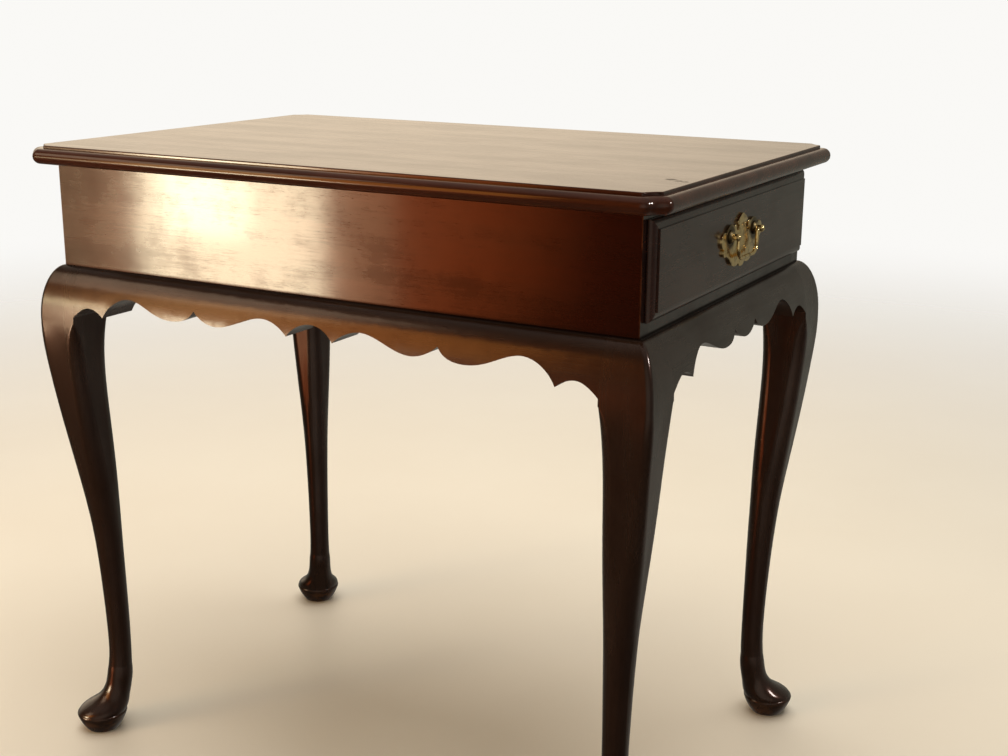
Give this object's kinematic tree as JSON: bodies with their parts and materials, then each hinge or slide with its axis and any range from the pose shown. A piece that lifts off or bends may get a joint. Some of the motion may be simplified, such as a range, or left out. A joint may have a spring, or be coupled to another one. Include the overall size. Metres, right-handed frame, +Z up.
{
  "type": "tea table",
  "caption": "Small mahogany tea table on cabriole legs with pad feet, flat moulded top, scalloped bulging aprons and an end drawer with a brass bail pull.",
  "frame": {"origin": "on the floor under the middle of the top", "axes": "+X along the table towards the drawer, +Z up, -Y the long side nearest the viewer"},
  "size_m": [0.71, 0.47, 0.66],
  "materials": {
    "mahogany_top": "polished",
    "mahogany_case": "polished",
    "mahogany_apron": "polished",
    "mahogany_leg": "polished",
    "mahogany_drawer": "polished",
    "inner_wood": "bare",
    "drawer_wood": "bare",
    "brass": "aged polish",
    "screw_steel": "dull"
  },
  "bodies": {
    "table": {"table_top": "mahogany_top", "side_panel_near": "mahogany_case", "side_panel_far": "mahogany_case", "end_panel": "mahogany_case", "front_top_rail": "mahogany_case", "front_lower_rail": "mahogany_case", "apron_near": "mahogany_apron", "apron_far": "mahogany_apron", "apron_drawer_end": "mahogany_apron", "apron_blind_end": "mahogany_apron", "leg_blind_near": "mahogany_leg", "leg_blind_far": "mahogany_leg", "leg_drawer_near": "mahogany_leg", "leg_drawer_far": "mahogany_leg", "drawer_runner_near": "inner_wood", "drawer_runner_far": "inner_wood", "kicker_near": "inner_wood", "kicker_far": "inner_wood", "corner_block_blind_near": "inner_wood", "corner_block_blind_far": "inner_wood", "corner_block_drawer_near": "inner_wood", "corner_block_drawer_far": "inner_wood", "top_screws": "screw_steel", "block_screws": "screw_steel"},
    "drawer": {"drawer_front": "mahogany_drawer", "drawer_side_near": "drawer_wood", "drawer_side_far": "drawer_wood", "drawer_back": "drawer_wood", "drawer_bottom": "drawer_wood", "pull_backplate": "brass", "pull_post_near": "brass", "pull_post_far": "brass", "pull_nuts": "brass"},
    "bail": {"pull_bail": "brass"}
  },
  "joints": [
    {"name": "drawer_slide", "type": "slide", "parent": "table", "child": "drawer", "axis": [1, 0, 0], "range_m": [0, 0.38]},
    {"name": "bail_swing", "type": "hinge", "parent": "drawer", "child": "bail", "pos_m": [0.3438, 0, 0.597], "axis": [0, -1, 0], "range_deg": [0, 100]}
  ]
}
